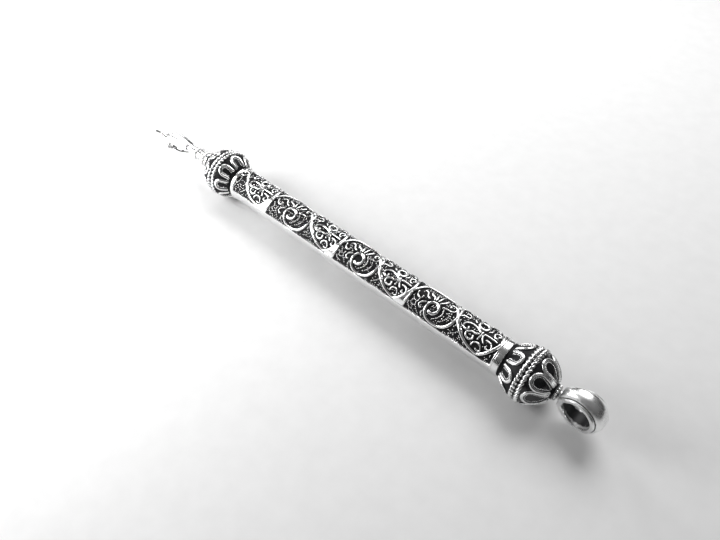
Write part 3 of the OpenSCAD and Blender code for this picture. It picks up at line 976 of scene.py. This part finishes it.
def make_cup():
    """The turned cup behind the far ball, with a beaded mouth."""
    low, high = node_box("bell_cup")
    x0, x1 = low[0], high[0]
    mouth = (high[1] - low[1]) / 2
    length = x1 - x0
    cup = Shape()
    lathe(cup, [
        (x1, 0.5, 1), (x1, mouth - 0.1, 0.8), (x1 - 0.1, mouth, 0.1), (x1 - 0.3, mouth, 0.1),
        (x1 - 0.4, mouth - 0.12, 0.9), (x1 - 0.55, mouth - 0.16, 1), (x1 - 0.7, mouth - 0.2, 0.7),
        (x1 - 0.45 * length, mouth * 0.8, 0.9), (x1 - 0.6 * length, mouth * 0.7, 0.9),
        (x1 - 0.62 * length, mouth * 0.74, 0.3), (x1 - 0.7 * length, mouth * 0.74, 0.3),
        (x1 - 0.72 * length, mouth * 0.66, 0.9),
        (x0 + 0.45, mouth * 0.56, 0.9), (x0 + 0.4, mouth * 0.6, 0.3), (x0 + 0.15, mouth * 0.6, 0.1),
        (x0, mouth * 0.55, 0.9), (x0, 0.5, 1),
    ], 72)
    bead_x, bead_ring_r, bead_r, count = x1 - 0.62, mouth - 0.26, 0.17, 26
    bead_ring(cup, bead_x, bead_ring_r, bead_r, count, rings=5, sides=10)
    cup.build("turned_cup", "case", "worked_silver", WORKED, ["bell_cup"], 50)


def make_sleeve():
    """The waisted sleeve between the cup and the hand."""
    low, high = node_box("wrist_sleeve")
    x0, x1, r = low[0], high[0], (high[1] - low[1]) / 2
    sleeve = Shape()
    lathe(sleeve, [
        (x1, 0.4, 1), (x1, r, 0.9), (x1 - 0.12, r, 0.8), (x1 - 0.3, r * 0.84, 0.5),
        (x1 - 0.9, r * 0.78, 0.15), (x0 + 0.9, r * 0.78, 0.15), (x0 + 0.55, r * 0.84, 0.6),
        (x0 + 0.5, r * 0.95, 0.1), (x0 + 0.3, r, 0.0), (x0 + 0.1, r * 0.95, 0.1), (x0, r * 0.85, 0.9),
        (x0, 0.4, 1),
    ], 64)
    sleeve.build("turned_sleeve", "case", "bright_silver", WORKED, ["wrist_sleeve"], 50)


def make_beaded_ring(node, count=20, pinch=0.12):
    """A ring of wire pinched into beads, dark towards the axis."""
    low, high = node_box(node)
    wire_r = (high[0] - low[0]) / 2
    x, path_r = (low[0] + high[0]) / 2, (high[1] - low[1]) / 2 - wire_r
    angles = np.linspace(0, TAU, count * 8, endpoint=False)
    section = np.linspace(0, TAU, 12, endpoint=False)
    rows = []
    for a, thick in zip(angles, wire_r * (1 - pinch * np.cos(angles * count) ** 8)):
        r = path_r + thick * np.cos(section)
        rows.append(np.stack([x + thick * np.sin(section), r * math.sin(a), AXIS_Z + r * math.cos(a)], 1))
    shade = np.broadcast_to(np.clip(-np.cos(section), 0, 1), (len(rows), len(section)))
    ring = Shape()
    ring.grid(rows, closed_rows=True, closed_columns=True, patina_and_shade=shade)
    ring.build(node + "_beaded", "case", "bright_silver", WORKED, [node], 60)


def limb(shape, p, p_r, q, q_r, sides=16, caps=5):
    """A round limb: two balls and the cone between them."""
    p, q = np.array(p, float), np.array(q, float)
    axis = (q - p) / np.linalg.norm(q - p)
    side = np.cross(axis, (0.3, 0.5, 0.8))
    side /= np.linalg.norm(side)
    other = np.cross(axis, side)
    around = np.linspace(0, TAU, sides, endpoint=False)[:, None]
    circle = np.cos(around) * side + np.sin(around) * other
    rows = []
    for centre, r, lats in ((p, p_r, np.linspace(-85, 0, caps)), (q, q_r, np.linspace(0, 85, caps))):
        for lat in np.radians(lats):
            rows.append(centre + r * (math.sin(lat) * axis + math.cos(lat) * circle))
    shape.grid(rows, closed_columns=True)
    shape.fan(rows[0])
    shape.fan(rows[-1])


# Limbs of the hand: places and radii from the wrist, in millimetres. The finger points to -X and
# the thumb's side is -Y.
HAND = [
    # wrist and palm
    [((0.0, 0, 0), 1.12), ((-1.6, 0, 0.0), 0.98), ((-3.2, 0, 0.05), 1.05)],
    [((-3.0, -0.5, 0.05), 0.95), ((-6.2, -1.0, 0.2), 0.85), ((-8.6, -1.3, 0.25), 0.72)],
    [((-3.0, -0.1, 0.1), 0.95), ((-6.4, -0.35, 0.3), 0.85), ((-8.9, -0.45, 0.35), 0.74)],
    [((-3.0, 0.2, 0.05), 0.95), ((-6.2, 0.35, 0.2), 0.82), ((-8.6, 0.45, 0.25), 0.7)],
    [((-3.0, 0.5, 0.0), 0.9), ((-5.8, 0.95, 0.0), 0.76), ((-8.0, 1.25, 0.05), 0.62)],
    [((-3.6, -0.8, -0.5), 0.85), ((-6.2, -1.2, -0.8), 0.8)],
    [((-3.6, 0.8, -0.4), 0.8), ((-6.6, 1.1, -0.6), 0.7)],
    # pointing finger
    [((-8.6, -1.3, 0.25), 0.66), ((-11.0, -1.15, 0.1), 0.54), ((-11.3, -1.13, 0.07), 0.57),
     ((-11.6, -1.1, 0.0), 0.52), ((-13.1, -0.97, -0.4), 0.46), ((-13.4, -0.95, -0.48), 0.48),
     ((-13.7, -0.92, -0.58), 0.44), ((-14.85, -0.82, -0.98), 0.34)],
    # folded fingers
    [((-8.9, -0.42, 0.3), 0.68), ((-10.6, -0.42, -0.75), 0.58), ((-10.7, -0.42, -1.0), 0.58),
     ((-9.5, -0.42, -2.2), 0.53), ((-8.0, -0.42, -2.1), 0.46)],
    [((-8.6, 0.5, 0.2), 0.64), ((-10.2, 0.52, -0.75), 0.55), ((-10.3, 0.52, -1.0), 0.55),
     ((-9.1, 0.52, -2.15), 0.5), ((-7.7, 0.5, -2.05), 0.44)],
    [((-8.0, 1.3, 0.0), 0.57), ((-9.4, 1.36, -0.85), 0.49), ((-9.5, 1.36, -1.05), 0.49),
     ((-8.5, 1.34, -2.0), 0.45), ((-7.3, 1.3, -1.9), 0.4)],
    # thumb
    [((-3.9, -1.1, -0.5), 0.8), ((-5.8, -1.95, -1.0), 0.68), ((-7.6, -2.0, -1.45), 0.55),
     ((-7.9, -1.97, -1.53), 0.57), ((-9.6, -1.35, -1.95), 0.44)],
]


HAND_VOXEL, HAND_RELAX = 0.065, 12


def melt(obj):
    """Replaces a piece's overlapping limbs by one smooth skin."""
    remesh = obj.modifiers.new("skin", "REMESH")
    remesh.mode = "VOXEL"
    remesh.voxel_size = HAND_VOXEL * MM
    relax = obj.modifiers.new("relax", "SMOOTH")
    relax.factor, relax.iterations = 0.5, HAND_RELAX
    bpy.context.view_layer.update()
    skin = bpy.data.meshes.new_from_object(obj.evaluated_get(bpy.context.evaluated_depsgraph_get()))
    obj.modifiers.clear()
    obj.data = skin


def hollowness(mesh, co, normal):
    """How far each point lies below the points about it, in metres, spread a little."""
    count, spreads = len(mesh.vertices), 8
    edges = np.zeros(len(mesh.edges) * 2, int)
    mesh.edges.foreach_get("vertices", edges)
    edges = edges.reshape(-1, 2)
    near = np.bincount(edges.reshape(-1), minlength=count).clip(1)
    fold = np.zeros(count)
    for a, b in ((0, 1), (1, 0)):
        reach = np.einsum("ij,ij->i", co[edges[:, b]] - co[edges[:, a]], normal[edges[:, a]])
        fold += np.bincount(edges[:, a], reach, count)
    fold /= near
    for _ in range(spreads):
        total = (np.bincount(edges[:, 0], fold[edges[:, 1]], count)
                 + np.bincount(edges[:, 1], fold[edges[:, 0]], count))
        fold = 0.5 * fold + 0.5 * total / near
    return fold


def set_hand_patina_and_shade(mesh, wrist_x):
    """Darkens the folds with patina, most of all below the knuckles where the extra dark is painted
    shade, and paints shade on the palm and along the crease over the thumb.
    """
    count = len(mesh.vertices)
    co, normal = np.zeros(count * 3), np.zeros(count * 3)
    mesh.vertices.foreach_get("co", co)
    mesh.vertices.foreach_get("normal", normal)
    co, normal = co.reshape(-1, 3), normal.reshape(-1, 3)
    # places along the hand fall below 0 from the wrist to the finger's tip, heights below the axis
    along, above = co[:, 0] / MM - wrist_x, co[:, 2] / MM - AXIS_Z
    # Patina in the folds, weighted far heavier low on the hand: that extra weight is painted shade.
    fold = hollowness(mesh, co, normal) * np.interp(above, [-0.4, 0.3], [2.2, 0.35])
    # Painted shade on faces that turn downwards, the palm.
    painted_palm_shade = np.clip(-normal[:, 2] - 0.25, 0, 0.6)
    # A painted shade line along the crease over the thumb, on faces that turn towards the viewer.
    painted_thumb_crease_shade = (np.exp(-((above + 0.3) / 0.25) ** 2) * (normal[:, 1] < -0.45)
                    * np.interp(along, [-9.5, -8.5, -2.5, -1.5], [0, 1, 1, 0]))
    dark = np.clip(fold / (0.008 * MM), 0, 1) + painted_palm_shade + painted_thumb_crease_shade
    # The vertex value holds patina in the folds and painted shade on the palm, crease and lower side.
    values = mesh.attributes.new("patina_and_shade", "FLOAT", "POINT")
    values.data.foreach_set("value", np.clip(dark, 0, 1).astype(np.float32))


def make_hand():
    """The hand: its limbs melted into one skin, polished on its back, with patina in its folds and
    painted shade on its palm and lower side.
    """
    wrist_x = node_box("pointing_hand")[1][0]
    wrist = np.array((wrist_x, 0, AXIS_Z))
    limbs = Shape()
    for chain in HAND:
        for (p, p_r), (q, q_r) in zip(chain, chain[1:]):
            limb(limbs, wrist + p, p_r, wrist + q, q_r)
    obj = limbs.link("sculpted_hand")
    clean_mesh(obj.data)
    melt(obj)
    set_hand_patina_and_shade(obj.data, wrist_x)
    dress(obj, "case", WORKED, ["pointing_hand"], 60)


make_cup()
make_sleeve()
make_beaded_ring("cup_ring")
make_beaded_ring("wrist_ring")
make_hand()


# ---- The parchment ----

def make_parchment():
    """A sheet rolled up about nine times, its two edges a little uneven."""
    low, high = node_box("parchment_scroll")
    inner, thick, gap, per_turn = 0.8, 0.11, 0.17, 40
    margin, rounding, unevenness = 0.25, 0.05, 0.06
    turns = ((high[1] - low[1]) / 2 - inner - thick) / gap
    chance = random.Random(3)
    wave = [chance.uniform(0, TAU) for _ in range(4)]
    rows = []
    for i in range(int(turns * per_turn) + 1):
        a = i / per_turn * TAU
        r = inner + gap * i / per_turn
        shift = unevenness * sum(math.sin(a * (0.37 + 0.21 * k) + w) for k, w in enumerate(wave))
        start, end = low[0] + margin + shift, high[0] - margin + shift
        section = ((start, r), (start - rounding, r + thick / 2), (start, r + thick),
                   (end, r + thick), (end + rounding, r + thick / 2), (end, r))
        rows.append([(x, rr * math.sin(a), AXIS_Z + rr * math.cos(a)) for x, rr in section])
    roll = Shape()
    roll.grid(rows, closed_columns=True)
    roll.fan(rows[0])
    roll.fan(rows[-1])
    roll.build("rolled_parchment", "scroll", "parchment", PARCHMENT, ["parchment_scroll"], 50)


make_parchment()


# ---- Floor ----

def make_floor(half=3000):
    """A square floor, as a stage and not a part of the object."""
    floor = Shape()
    floor.add([(-half, -half, 0), (half, -half, 0), (half, half, 0), (-half, half, 0)], [(0, 1, 2, 3)])
    obj = floor.link("floor")
    obj.data.materials.append(floor_material())


make_floor()
bpy.context.scene.view_settings.view_transform = "Standard"
